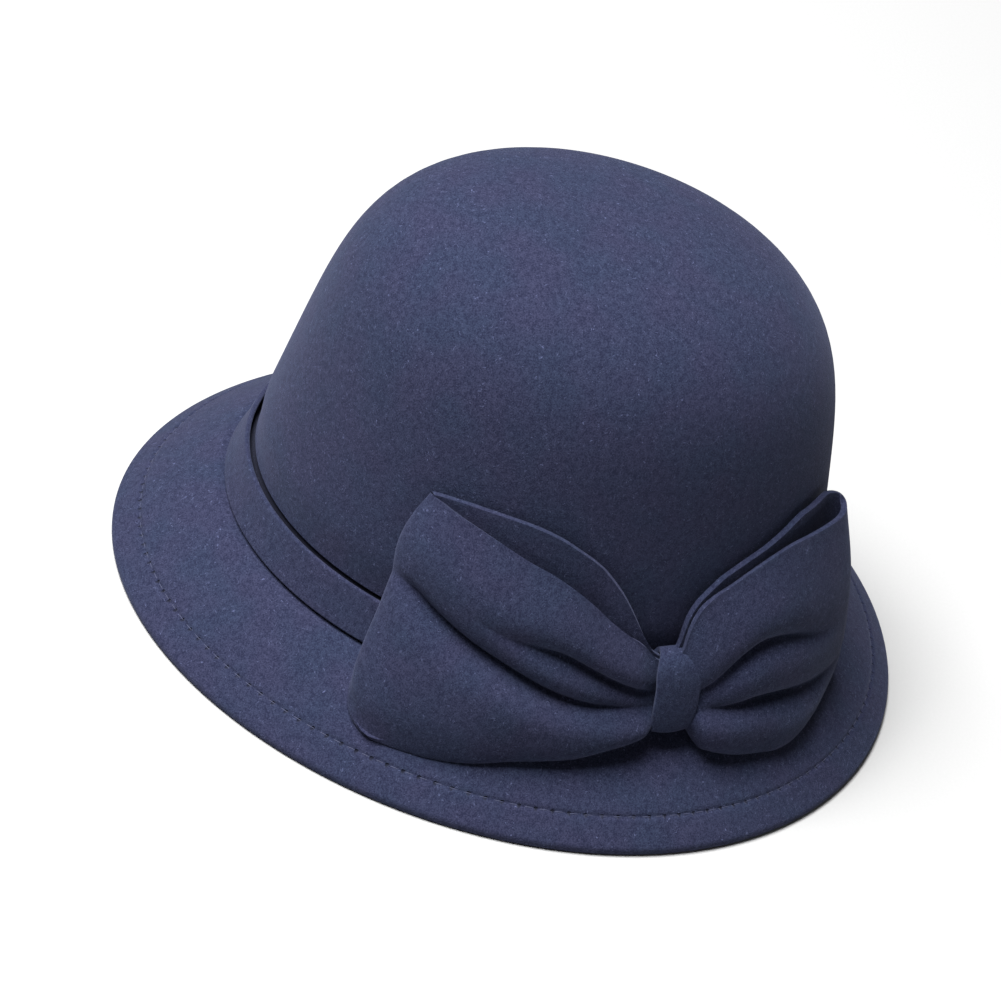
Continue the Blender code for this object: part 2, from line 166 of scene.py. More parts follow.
@dataclass(frozen=True)
class HatForm:
    """The outer form of crown, band and brim, which every other piece is laid on."""

    half_length: float = 99.0 * MM
    half_width: float = 83.7 * MM
    band_top: float = 42.7 * MM
    crown_top: float = 158.8 * MM
    crown_taper: float = 0.2133
    crown_hollowing: float = 0.0128
    shoulder_power: float = 6.87
    dome_power: float = 2.4
    lean_forward: float = 6.6 * MM
    lean_right: float = 0.7 * MM
    band_bottom: float = 28.7 * MM
    band_flare: float = 4.8 * MM
    mean_reach: float = 38.7 * MM
    reach_waves: tuple[tuple[int, float, float], ...] = (
        (1, -3.3 * MM, 0.5 * MM),
        (2, -0.6 * MM, 2.6 * MM),
        (3, 1.5 * MM, 0.0),
    )
    window: float = 7.0 * MM
    window_samples: int = 7
    samples: int = 1441

    def uneven_reach(self, turn: Array) -> Array:
        """How far the brim's edge is beyond its mean reach at each turn."""
        return sum(
            cosine * np.cos(waves * turn) + sine * np.sin(waves * turn)
            for waves, cosine, sine in self.reach_waves
        )

    def brim_reach(self, turn: Array) -> Array:
        """How far the brim's edge is beyond the crown's oval at each turn."""
        return self.mean_reach + self.uneven_reach(turn)

    def middle(self) -> Pair:
        """The middle of the box round the brim, from the middle of the crown's oval."""
        turn = np.linspace(0.0, FULL_TURN, self.samples)
        across = (self.half_width + self.brim_reach(turn)) * np.sin(turn)
        along = -(self.half_length + self.brim_reach(turn)) * np.cos(turn)
        return (across.max() + across.min()) / 2, (along.max() + along.min()) / 2

    def middle_at(self, height: Array, lean: Array = 0.0) -> tuple[Array, Array, Array]:
        """The middle of the crown's oval at a height, with a share of the crown's lean."""
        mid_x, mid_y = self.middle()
        return -self.lean_right * lean - mid_x, -self.lean_forward * lean - mid_y, height

    def crown_scale(self, rise: Array) -> Array:
        """The size of the crown's oval at a share of the way from the band to the top."""
        taper = 1 - self.crown_taper * rise + self.crown_hollowing * rise**2
        return taper * (1 - rise**self.shoulder_power) ** (1 / self.dome_power)

    def point(
        self, turn: Array, beyond: Array, height: Array, scale: Array = 1.0, lean: Array = 0.0
    ) -> Array:
        """Finds points beyond the crown's oval.

        Args:
            turn: turns round the hat.
            beyond: level distances beyond the scaled oval.
            height: heights above the rest surface.
            scale: how much the oval is scaled.
            lean: the share of the crown's lean at each point.

        Returns:
            The points, with x, y and z along the last axis.
        """
        mid_x, mid_y, level = self.middle_at(height, lean)
        x = mid_x + (self.half_width * scale + beyond) * np.sin(turn)
        y = mid_y - (self.half_length * scale + beyond) * np.cos(turn)
        return np.stack(np.broadcast_arrays(x, y, level), axis=-1)

    def turn_at(self, place: Array) -> Array:
        """The turn at a distance in millimetres along the crown's oval from its front."""
        turn = np.linspace(0.0, FULL_TURN, self.samples)
        oval = np.stack([self.half_width * np.sin(turn), self.half_length * np.cos(turn)], -1)
        return np.interp(np.asarray(place) * MM, running_length(oval), turn)

    def turn_of(self, points: Array) -> Array:
        """The turn at which the crown's oval, made larger or smaller, meets each point."""
        mid_x, mid_y = self.middle()
        return np.arctan2(
            (points[:, 0] + mid_x) / self.half_width, -(points[:, 1] + mid_y) / self.half_length
        )

    def sweep(self, level: Array, brim_reach: Array) -> Array:
        """How far the cove and brim stand beyond the crown's oval at a level."""
        fall = self.band_top - self.band_bottom
        share = np.clip((self.band_top - level) / fall, 0.0, 1.0)
        drop = np.clip((self.band_bottom - level) / self.band_bottom, 0.0, 1.0)
        return share * self.band_flare + drop * (brim_reach - self.band_flare)

    def shifts(self) -> Array:
        """The shifts in height over which the hat's form is averaged."""
        return np.linspace(-self.window, self.window, self.window_samples)

    def softened_sweep(self, level: Array) -> Array:
        """The mean sweep, averaged as lay averages it."""
        reach = self.mean_reach
        return sum(self.sweep(level + s, reach) for s in self.shifts()) / self.window_samples

    def lay(self, turn: Array, height: Array, stand: Array) -> Array:
        """Finds points that stand off the trimmed hat, over a softened cove.

        Args:
            turn: turns round the hat.
            height: heights of the points.
            stand: level distances from the hat.

        Returns:
            The points, with x, y and z along the last axis.
        """
        total = 0.0
        for shift in self.shifts():
            level = height + shift
            rise = np.clip((level - self.band_top) / (self.crown_top - self.band_top), 0.0, 1.0)
            beyond = self.sweep(level, self.brim_reach(turn))
            total = total + self.point(turn, beyond + stand, height, self.crown_scale(rise), rise)
        return total / self.window_samples


@dataclass(frozen=True)
class Ring:
    """A level ring of a lofted form: its half axes, its middle, its share of the uneven reach."""

    half_x: float
    half_y: float
    middle: Triple
    uneven: float = 0.0


def deselect() -> None:
    """Leaves edit mode and deselects everything."""
    if bpy.context.object and bpy.context.object.mode != "OBJECT":
        bpy.ops.object.mode_set(mode="OBJECT")
    bpy.ops.object.select_all(action="DESELECT")


def choose(piece: Piece) -> None:
    """Selects one object alone and makes it the active one."""
    deselect()
    piece.select_set(True)
    bpy.context.view_layer.objects.active = piece


@contextmanager
def whole_mesh(piece: Piece) -> Iterator[None]:
    """Keeps a piece in edit mode, entered with all of its mesh selected."""
    choose(piece)
    bpy.ops.object.mode_set(mode="EDIT")
    bpy.ops.mesh.select_all(action="SELECT")
    yield
    bpy.ops.object.mode_set(mode="OBJECT")


def just_made(name: str) -> Piece:
    """The object that the last operator made, after naming it."""
    piece = bpy.context.object
    piece.name = piece.data.name = name
    return piece


def in_scene(name: str, data: bpy.types.ID) -> Piece:
    """A new object in the scene, with its data."""
    new = bpy.data.objects.new(name, data)
    bpy.context.scene.collection.objects.link(new)
    return new


def points_of(piece: Piece) -> Array:
    """The points of a mesh, one row each."""
    points = np.empty(len(piece.data.vertices) * 3)
    piece.data.vertices.foreach_get("co", points)
    return points.reshape(-1, 3)


def whole_numbers(elements: bpy.types.bpy_prop_collection, name: str) -> Array:
    """One whole-number property of every element of a mesh."""
    values = np.empty(len(elements), int)
    elements.foreach_get(name, values)
    return values


def move_points(piece: Piece, points: Array) -> None:
    """Carries a mesh's points to new places."""
    piece.data.vertices.foreach_set("co", np.ascontiguousarray(points).ravel())
    piece.data.update()


def make_outward(piece: Piece) -> None:
    """Turns a closed piece's faces outwards."""
    with whole_mesh(piece):
        bpy.ops.mesh.normals_make_consistent(inside=False)


def give_thickness(
    piece: Piece,
    felt: float,
    edge: float,
    offset: float = -1.0,
    segments: int = 3,
    sharp: float = 60.0,
) -> None:
    """Thickens a strip of felt and rounds its cut edges.

    Args:
        piece: the strip's mesh object.
        felt: the felt's thickness.
        edge: width of the rounding along the edges.
        offset: -1 to thicken behind the faces, 0 to both sides of them.
        segments: faces across the rounding.
        sharp: the least angle in degrees of an edge that is rounded.
    """
    rounding = {"width": edge, "segments": segments, "angle_limit": math.radians(sharp)}
    steps = {
        "SOLIDIFY": {"thickness": felt, "offset": offset, "use_rim": True},
        "BEVEL": {"limit_method": "ANGLE", **rounding},
    }
    choose(piece)
    for kind, settings in steps.items():
        modifier = piece.modifiers.new(kind.title(), kind)
        for key, value in settings.items():
            setattr(modifier, key, value)
        bpy.ops.object.modifier_apply(modifier=modifier.name)
    make_outward(piece)


def give_finish(piece: Piece, finish: FeltFinish | ThreadFinish, sharp: float) -> None:
    """Shades a piece smooth and gives it its material.

    Args:
        piece: the mesh object.
        finish: what it is made of.
        sharp: the angle in degrees above which an edge stays sharp.
    """
    choose(piece)
    bpy.ops.object.shade_smooth_by_angle(angle=math.radians(sharp))
    piece.data.materials.append(finish.build())


def dress(piece: Piece, node: Node) -> Piece:
    """Puts a finished piece on the hat in place of its frame node.

    Args:
        piece: the finished mesh object.
        node: the frame node that it stands for.

    Returns:
        The piece.
    """
    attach(piece, ROOT)
    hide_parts(node.value)
    return piece


def loft(name: str, rings: Sequence[Ring], segments: int, closed_end: bool) -> Piece:
    """Raises a form from one circle by extruding and resizing it, ring after ring.

    Args:
        name: the new object's name.
        rings: the rings in order.
        segments: points round each ring.
        closed_end: whether both ends run together into a pole.

    Returns:
        The new mesh object, still open if its ends aren't closed.
    """
    deselect()
    fill = "TRIFAN" if closed_end else "NOTHING"
    bpy.ops.mesh.primitive_circle_add(vertices=segments, radius=1.0, fill_type=fill)
    piece = just_made(name)
    with whole_mesh(piece):
        first = (rings[0].half_x, rings[0].half_y, 1.0)
        bpy.ops.transform.resize(value=first, center_override=(0, 0, 0))
        bpy.ops.transform.translate(value=rings[0].middle)
        if closed_end:
            bpy.ops.mesh.region_to_loop()
        for before, ring in zip(rings, rings[1:]):
            bpy.ops.mesh.extrude_region_move()
            grow = (ring.half_x / before.half_x, ring.half_y / before.half_y, 1.0)
            bpy.ops.transform.resize(value=grow, center_override=before.middle)
            step = Vector(ring.middle) - Vector(before.middle)
            bpy.ops.transform.translate(value=step)
        if closed_end:
            bpy.ops.mesh.extrude_region_move()
            bpy.ops.mesh.merge(type="CENTER")
    return piece


def felt_strip(
    name: str, rows: int, columns: int, form: Callable[[Array, Array], Array]
) -> Piece:
    """Lays out a flat strip of felt as a grid, then carries each point to its formed place.

    Args:
        name: the new object's name.
        rows: faces along the strip.
        columns: faces across the strip.
        form: gives the place of a point from its shares along and across the strip.

    Returns:
        The formed strip, with no thickness yet.
    """
    deselect()
    bpy.ops.mesh.primitive_grid_add(x_subdivisions=rows, y_subdivisions=columns, size=1.0)
    strip = just_made(name)
    flat = points_of(strip)
    move_points(strip, form(flat[:, 0] + 0.5, 0.5 - flat[:, 1]))
    return strip


def feed(tree: bpy.types.NodeTree, node: bpy.types.Node, links: Links) -> None:
    """Gives a node its inputs, by name or number: each a value or the socket that feeds it."""
    for key, value in links.items():
        if isinstance(value, Socket):
            tree.links.new(value, node.inputs[key])
        else:
            node.inputs[key].default_value = value


def add_node(
    tree: bpy.types.NodeTree, kind: str, links: Links | None = None, **settings: object
) -> bpy.types.Node:
    """Adds one shader node.

    Args:
        tree: the node tree.
        kind: the node's type.
        links: input names or numbers, with a value or the output socket that feeds them.
        **settings: values of the node's own properties.

    Returns:
        The new node.
    """
    node = tree.nodes.new(kind)
    for key, value in settings.items():
        setattr(node, key, value)
    feed(tree, node, links or {})
    return node


class Shading:
    """A new material and its nodes, laid in the object's own coordinates."""

    def __init__(self, name: str) -> None:
        """Makes the material with its Principled shader."""
        self.material = bpy.data.materials.new(name)
        self.material.use_nodes = True
        self.tree = self.material.node_tree
        self.where = add_node(self.tree, "ShaderNodeTexCoord").outputs["Object"]

    def noise(
        self, size_mm: float, detail: float, rough: float = 0.5, warp: float = 0.0
    ) -> Socket:
        """Noise with features of a size in millimetres."""
        links = {
            "Vector": self.where,
            "Scale": 1.0 / (size_mm * MM),
            "Detail": detail,
            "Roughness": rough,
            "Distortion": warp,
        }
        return add_node(self.tree, "ShaderNodeTexNoise", links).outputs[0]

    def band(self, value: Socket, span: Pair, to: Pair = (0.0, 1.0)) -> Socket:
        """Carries a value from one span to another, held at the ends."""
        links = {0: value, 1: span[0], 2: span[1], 3: to[0], 4: to[1]}
        return add_node(self.tree, "ShaderNodeMapRange", links, clamp=True).outputs[0]

    def maths(self, operation: str, *values: Socket | float) -> Socket:
        """The result of a Math node."""
        links = dict(enumerate(values))
        return add_node(self.tree, "ShaderNodeMath", links, operation=operation).outputs[0]

    def mix(self, share: Socket | float, first: object, second: object) -> Socket:
        """A mix of two colours, by the second one's share."""
        links = {0: share, 6: first, 7: second}
        return add_node(self.tree, "ShaderNodeMix", links, data_type="RGBA").outputs[2]

    def shade(self, links: Links) -> bpy.types.Material:
        """Feeds the Principled shader and gives back the material."""
        feed(self.tree, self.tree.nodes["Principled BSDF"], links)
        return self.material


@dataclass(frozen=True)
class FeltFinish:
    """Dyed wool felt, blocked or cut from a pressed hood.

    Wool fibres matted by steam and pressure have no weave. The eye gets a matte, slightly cloudy
    colour, a fine grain, and stray fibres that lie every way. Felt that is sewn carries the
    seam's UV map, which places its needle holes, sunk into the relief and darkened with painted
    shade, and the painted shade laid on the felt tucked behind the band.
    """

    name: str
    base: str = "#2a2e44"
    warm: str = "#2e2e44"
    cool: str = "#263044"
    shade: str = "#12152a"
    fibre: str = "#666d92"
    # painted shade: the near-black that darkens the needle holes and the tuck behind the band
    painted_shade: str = "#0b0c16"
    cloud_mm: float = 16.0
    cloud_span: Pair = (0.35, 0.65)
    mottle_mm: float = 1.8
    grain_mm: float = 0.5
    grain_share: float = 0.7
    speckle_span: Pair = (0.40, 0.60)
    fibre_mm: float = 2.0
    fibre_warp: float = 1.6
    fibre_width: float = 0.016
    fibre_break_size: float = 0.8
    fibre_break_span: Pair = (0.48, 0.60)
    fibre_height: float = 0.25
    fibre_share: float = 0.45
    mottle_share: float = 0.85
    nap_height_mm: float = 0.28
    nap_strength: float = 0.9
    roughness: float = 0.95
    specular: float = 0.15
    sheen: float = 0.13
    sheen_roughness: float = 0.45
    sheen_tint: str = "#8f97bd"
    sewn: bool = False
    hole_span_mm: Pair = (0.30, 0.72)
    hole_shade_share: float = 0.8
    hole_depth: float = 3.0
    tuck_span: Pair = (70.0, 95.0)
    tuck_shade_share: float = 0.9

    def build(self) -> bpy.types.Material:
        """Builds the material, whose patterns follow the object's own coordinates."""
        nodes = Shading(self.name)
        maths, mix = nodes.maths, nodes.mix
        clouds = nodes.noise(self.cloud_mm, 1.0)
        mottle = nodes.noise(self.mottle_mm, 2.0, 0.6)
        grain = nodes.noise(self.grain_mm, 2.0, 0.7)
        curls = nodes.noise(self.fibre_mm, 1.0, warp=self.fibre_warp)
        breaks = nodes.noise(self.fibre_mm * self.fibre_break_size, 1.0)
        line = maths("ABSOLUTE", maths("SUBTRACT", curls, 0.5))
        fibres = nodes.band(line, (0.0, self.fibre_width), (1.0, 0.0))
        fibres = maths("MULTIPLY", fibres, nodes.band(breaks, self.fibre_break_span))

        tint = nodes.band(clouds, self.cloud_span)
        tint = mix(tint, linear(self.warm), linear(self.cool))
        colour = mix(0.5, tint, linear(self.base))
        mottle = maths("MULTIPLY", mottle, 1 - self.grain_share)
        speckle = maths("ADD", maths("MULTIPLY", grain, self.grain_share), mottle)
        shaded = nodes.band(speckle, self.speckle_span, (self.mottle_share, 0.0))
        colour = mix(shaded, colour, linear(self.shade))
        colour = mix(maths("MULTIPLY", fibres, self.fibre_share), colour, linear(self.fibre))
        height = maths("ADD", speckle, maths("MULTIPLY", fibres, self.fibre_height))
        # Painted shade: the needle holes and the felt tucked behind the band are mixed towards a
        # near-black.
        if self.sewn:
            hole, tuck = self.painted_shade_masks(nodes)
            painted_shade = maths("MAXIMUM", maths("MULTIPLY", hole, self.hole_shade_share), tuck)
            colour = mix(painted_shade, colour, linear(self.painted_shade))
            height = maths("SUBTRACT", height, maths("MULTIPLY", hole, self.hole_depth))
        relief = {"Strength": self.nap_strength, "Distance": self.nap_height_mm * MM}
        bump = add_node(nodes.tree, "ShaderNodeBump", {**relief, "Height": height})
        return nodes.shade({
            "Base Color": colour,
            "Normal": bump.outputs[0],
            "Roughness": self.roughness,
            "Specular IOR Level": self.specular,
            "Sheen Weight": self.sheen,
            "Sheen Roughness": self.sheen_roughness,
            "Sheen Tint": linear(self.sheen_tint),
        })

    def painted_shade_masks(self, nodes: Shading) -> tuple[Socket, Socket]:
        """Makes the masks of painted shade, in the needle holes on the brim and on the felt tucked
        behind the band.

        Args:
            nodes: the material's nodes.

        Returns:
            Two sockets, above 0 in a hole, or in the tuck, and 0 away from it.
        """
        maths = nodes.maths
        seam = add_node(nodes.tree, "ShaderNodeUVMap", uv_map="seam").outputs[0]
        parts = add_node(nodes.tree, "ShaderNodeSeparateXYZ", {0: seam}).outputs
        along = maths("SUBTRACT", maths("FRACT", maths("ADD", parts[0], 0.5)), 0.5)
        along = maths("MULTIPLY", along, BrimStitches.pitch / MM)
        square = maths("ADD", maths("POWER", along, 2.0), maths("POWER", parts[1], 2.0))
        hole = nodes.band(maths("SQRT", square), self.hole_span_mm, (1.0, 0.0))
        return hole, nodes.band(parts[1], self.tuck_span, (0.0, self.tuck_shade_share))


@dataclass(frozen=True)
class ThreadFinish:
    """Mercerised cotton sewing thread, matched to the felt, with a faint gloss."""

    name: str = "navy_cotton_thread"
    colour: str = "#363b58"
    dark: str = "#1f2236"
    roughness: float = 0.7
    sheen: float = 0.05
    ply_mm: float = 0.35

    def build(self) -> bpy.types.Material:
        """Builds the material, with its plies as a fine pattern of light and dark."""
        nodes = Shading(self.name)
        ply = nodes.noise(self.ply_mm, 1.0)
        colour = nodes.mix(ply, linear(self.dark), linear(self.colour))
        return nodes.shade(
            {"Base Color": colour, "Roughness": self.roughness, "Sheen Weight": self.sheen}
        )


@dataclass(frozen=True)
class BrimSlope:
    """The brim's mean section: its angle below level, its length, and where it ends."""

    angle: float
    length: float
    end_out: float
    end_up: float


@dataclass
class FeltBody:
    """Crown and brim blocked from one hood, with the brim's edge turned under and sewn down.

    The rings lie at shares of the way down the cove or the brim. Beside them, cove_tucks holds
    shares of the tuck's depth and brim_leads shares of the seat's depth. The hem's three inner
    edge rings are steps from the hem's inner end.
    """

    form: HatForm
    felt: float = 2.2 * MM
    trim_felt: float = 1.8 * MM
    gap: float = 0.3 * MM
    seat_fade: float = 0.14
    brim_crowning: float = 0.7 * MM
    hem_radius: float = 2.3 * MM
    hem_width: float = 13.5 * MM
    rest_depth: float = 0.4 * MM
    seam_inset: float = 9.5 * MM
    groove_depth: float = 0.55 * MM
    groove_half: float = 0.8 * MM
    segments: int = 192
    crown_rings: int = 44
    pole_ring: float = 0.2 * MM
    tuck_depth: float = 1.1 * MM
    tuck_top: float = 1.05 * MM
    tuck_mark: float = 0.1
    tuck_rows: tuple[float, ...] = (
        0.3 * MM, 0.6 * MM, 0.75 * MM, 0.9 * MM, 1.05 * MM, 1.2 * MM, 1.5 * MM, 2.2 * MM,
    )
    cove_tucks: tuple[Pair, ...] = (
        (0.15, 0.9), (0.4, 0.4), (0.7, 0.0), (0.95, 0.0), (1.0, 0.0),
    )
    brim_leads: tuple[Pair, ...] = ((0.012, 0.85), (0.030, 0.45), (0.055, 0.12))
    inner_brim: tuple[float, ...] = (0.09, 0.14, 0.20, 0.26, 0.33, 0.41, 0.49, 0.57)
    seam_steps_mm: tuple[float, ...] = (
        -4.0, -2.4, -1.4, -0.8, -0.4, 0.0, 0.4, 0.8, 1.4, 2.4, 4.0,
    )
    outer_brim: tuple[float, ...] = (0.94, 1.0)
    hem_rest_angle: float = math.radians(60)
    hem_face: float = 0.9
    hem_edge: Triple = (0.02, -0.004, -0.006)
    hem_edge_depths: Pair = (0.5 * MM, 0.4 * MM)
    under_brim: tuple[float, ...] = (0.55, 0.45, 0.35, 0.25, 0.17)

    @property
    def seat(self) -> float:
        """How far the felt is drawn in under the band."""
        return self.trim_felt + self.gap

    def crown_ring(self, row: Triple, depth: float) -> Ring:
        """A ring of the crown at one row of its profile, sunk into the felt by a depth."""
        form, (rise, out, up) = self.form, row
        scale = float(form.crown_scale(np.float64(rise)))
        level = form.band_top + rise * (form.crown_top - form.band_top) - depth * up
        half_x, half_y = (
            max(half * scale - depth * out, self.pole_ring)
            for half in (form.half_width, form.half_length)
        )
        return Ring(half_x, half_y, form.middle_at(level, rise))

    def crown_rows(self) -> list[Triple]:
        """Rise and outward normal of the crown's rings, evenly spaced down its profile."""
        form = self.form
        # The samples crowd towards the top, where the profile turns over.
        rise = 1 - np.linspace(1.0, 0.0, form.samples) ** 3
        radius = form.crown_scale(rise) * (form.half_length + form.half_width) / 2
        height = rise * (form.crown_top - form.band_top)
        arc = running_length(np.stack([radius, height], -1))
        slope_r, slope_z = np.gradient(radius, arc), np.gradient(height, arc)
        places = np.linspace(0.0, arc[-1], self.crown_rings + 1)
        below_pole = np.sort(np.concatenate([places, self.tuck_rows]))[-2::-1]
        return [
            (np.interp(s, arc, rise), np.interp(s, arc, slope_z), -np.interp(s, arc, slope_r))
            for s in below_pole
        ]

    def seat_depth(self, rise: float) -> float:
        """How far the crown is drawn in at a rise: the seat, and the tuck up to its top."""
        above = rise * (self.form.crown_top - self.form.band_top)
        tuck = self.tuck_depth * float(ease(np.float64(2.0 * (1 - above / self.tuck_top))))
        return tuck + self.seat * float(ease(np.float64(1 - rise / self.seat_fade)))

    def level_ring(self, beyond: float, height: float, uneven: float) -> Ring:
        """A ring beyond the crown's oval, with its share of the brim's uneven reach."""
        form = self.form
        half_x, half_y = form.half_width + beyond, form.half_length + beyond
        return Ring(half_x, half_y, form.middle_at(height), uneven)

    def slope(self) -> BrimSlope:
        """The brim's mean section, from the band's foot to the hem's fold."""
        form = self.form
        run = form.mean_reach - self.hem_radius - form.band_flare
        drop = form.band_bottom - (self.hem_radius - self.rest_depth)
        angle = math.atan2(drop, run) + math.asin(self.hem_radius / math.hypot(run, drop))
        end_out = form.mean_reach - self.hem_radius + self.hem_radius * math.sin(angle)
        end_up = self.hem_radius - self.rest_depth + self.hem_radius * math.cos(angle)
        length = math.hypot(end_out - form.band_flare, form.band_bottom - end_up)
        return BrimSlope(angle, length, end_out, end_up)

    def seam_share(self) -> float:
        """The seam's share of the way down the brim."""
        return 1 - self.seam_inset / self.slope().length

    def brim_ring(self, share: float, depth: float) -> Ring:
        """A ring of the brim at a share of the way to its hem, sunk by a depth."""
        form, slope = self.form, self.slope()
        from_seam = (1 - share) * slope.length - self.seam_inset
        groove = self.groove_depth * math.exp(-((from_seam / self.groove_half) ** 2))
        sink = depth - self.brim_crowning * math.sin(math.pi * share)
        if depth == 0.0:
            sink += groove
        beyond = form.band_flare + share * (slope.end_out - form.band_flare)
        level = form.band_bottom + share * (slope.end_up - form.band_bottom)
        return self.level_ring(
            beyond - sink * math.sin(slope.angle), level - sink * math.cos(slope.angle), share
        )

    def hem_ring(self, angle: float) -> Ring:
        """A ring of the hem's rounded fold, flat where it rests."""
        reach = self.form.mean_reach - self.hem_radius
        level = self.hem_radius - self.rest_depth + self.hem_radius * math.sin(angle)
        beyond = reach + self.hem_radius * math.cos(angle)
        return self.level_ring(beyond, max(level, 0.0), 1.0)

    def cove_ring(self, share: float, depth: float) -> Ring:
        """A ring on the face that the band covers, from its upper edge down."""
        form = self.form
        fall = form.band_top - form.band_bottom
        length = math.hypot(form.band_flare, fall)
        out, up = fall / length, form.band_flare / length
        beyond = share * form.band_flare - depth * out
        return self.level_ring(beyond, form.band_top - share * fall - depth * up, 0.0)

    def rings_above(self) -> list[Ring]:
        """The rings from the crown's top to the brim's outermost edge."""
        slope, seam = self.slope(), self.seam_share()
        near = tuple(seam + step * MM / slope.length for step in self.seam_steps_mm)
        upper = math.pi / 2 - slope.angle
        rings = [self.crown_ring(row, self.seat_depth(row[0])) for row in self.crown_rows()]
        rings += [
            self.cove_ring(share, self.seat + tuck * self.tuck_depth)
            for share, tuck in self.cove_tucks
        ]
        rings += [self.brim_ring(share, sunk * self.seat) for share, sunk in self.brim_leads]
        brim = self.inner_brim + near + self.outer_brim
        rings += [self.brim_ring(share, 0.0) for share in brim]
        return rings + [self.hem_ring(upper * share) for share in (0.75, 0.5, 0.25, 0.0)]

    def rings_below(self) -> list[Ring]:
        """The rings from below the brim's outermost edge, round the hem, to the hollow's top."""
        slope = self.slope()
        rest, past_rest = self.hem_rest_angle, self.hem_rest_angle - math.pi
        end = -math.pi / 2 - slope.angle
        hem_turns = [-rest * share for share in (0.25, 0.5, 0.75, 1.0)]
        hem_turns += [past_rest, (end + past_rest) / 2, end]
        rings = [self.hem_ring(turn) for turn in hem_turns]

        felt, twice = self.felt, 2 * self.hem_radius
        hem = 1 - self.hem_width / slope.length
        near, upper, lower = self.hem_edge
        above, below = self.hem_edge_depths
        face = (self.hem_face, (1 + hem) / 2, hem + near, hem)
        rings += [self.brim_ring(share, twice) for share in face]
        rings += [self.brim_ring(hem + upper, twice - above)]
        rings += [self.brim_ring(hem + lower, felt + below)]
        rings += [self.brim_ring(share, felt) for share in (hem - near,) + self.under_brim]

        inner = self.seat + felt
        rings += [
            self.cove_ring(share, inner + tuck * self.tuck_depth)
            for share, tuck in self.cove_tucks[-2::-1]
        ]
        crown = self.crown_rows()[::-1]
        return rings + [self.crown_ring(row, self.seat_depth(row[0]) + felt) for row in crown]

    def mark_seam(self, piece: Piece) -> None:
        """Gives the mesh a UV map along the stitches: stitch count, and millimetres across."""
        form, slope = self.form, self.slope()
        points = points_of(piece)
        seam = self.seam_line()
        counts = np.linspace(0.0, BrimStitches.count(self), len(seam))
        seam_turn = np.linspace(0.0, FULL_TURN, len(seam))
        along = np.interp(np.mod(form.turn_of(points), FULL_TURN), seam_turn, counts)
        fall = (form.band_bottom - points[:, 2]) / (form.band_bottom - slope.end_up)
        across = (fall - self.seam_share()) * slope.length / MM
        above_brim = points[:, 2] > form.band_bottom
        inner = self.inner_side(piece)
        across[above_brim | inner] = SeamMark.ELSEWHERE.value
        # The felt tucked just above the band's top is marked for the material's painted shade.
        tuck = form.band_top + self.tuck_mark * self.tuck_top
        across[above_brim & ~inner & (points[:, 2] < tuck)] = SeamMark.TUCKED.value
        mesh = piece.data
        corners = whole_numbers(mesh.loops, "vertex_index")
        sides = whole_numbers(mesh.polygons, "loop_total")
        owner = np.repeat(np.arange(len(sides)), sides)
        u = along[corners]
        highest = np.zeros(len(sides))
        np.maximum.at(highest, owner, u)
        wraps = (highest[owner] - u) > counts[-1] / 2
        u = np.where(wraps, u + counts[-1], u)
        layer = mesh.uv_layers.new(name="seam")
        layer.data.foreach_set("uv", np.stack([u, across[corners]], -1).ravel())

    def inner_side(self, piece: Piece) -> Array:
        """Which points lie on the underside, told by the order in which the rings were made."""
        above = 1 + len(self.rings_above()) * self.segments
        return np.arange(len(piece.data.vertices)) >= above

    def seam_line(self) -> Array:
        """Points of the stitch line on the brim, once round from the front."""
        share = self.seam_share()
        turn = np.linspace(0.0, FULL_TURN, self.form.samples)
        ring = self.brim_ring(share, 0.0)
        beyond = ring.half_x - self.form.half_width + share * self.form.uneven_reach(turn)
        return self.form.point(turn, beyond, ring.middle[2])

    def build(self, finish: FeltFinish) -> Piece:
        """Models the body in its felt and dresses it."""
        rings = self.rings_above() + self.rings_below()
        piece = loft("blocked_felt_body", rings, self.segments, closed_end=True)
        points = points_of(piece)
        uneven = np.zeros(len(points))
        uneven[1 : 1 + len(rings) * self.segments] = np.repeat(
            [ring.uneven for ring in rings], self.segments
        )
        turn = self.form.turn_of(points)
        push_out(points, turn, uneven * self.form.uneven_reach(turn))
        points[0] = points[1 : 1 + self.segments].mean(axis=0)
        points[0, 2] = self.form.crown_top
        points[-1, 2] = self.form.crown_top - self.felt
        move_points(piece, points)
        make_outward(piece)
        self.mark_seam(piece)
        give_finish(piece, finish, 50.0)
        return dress(piece, Node.BODY)


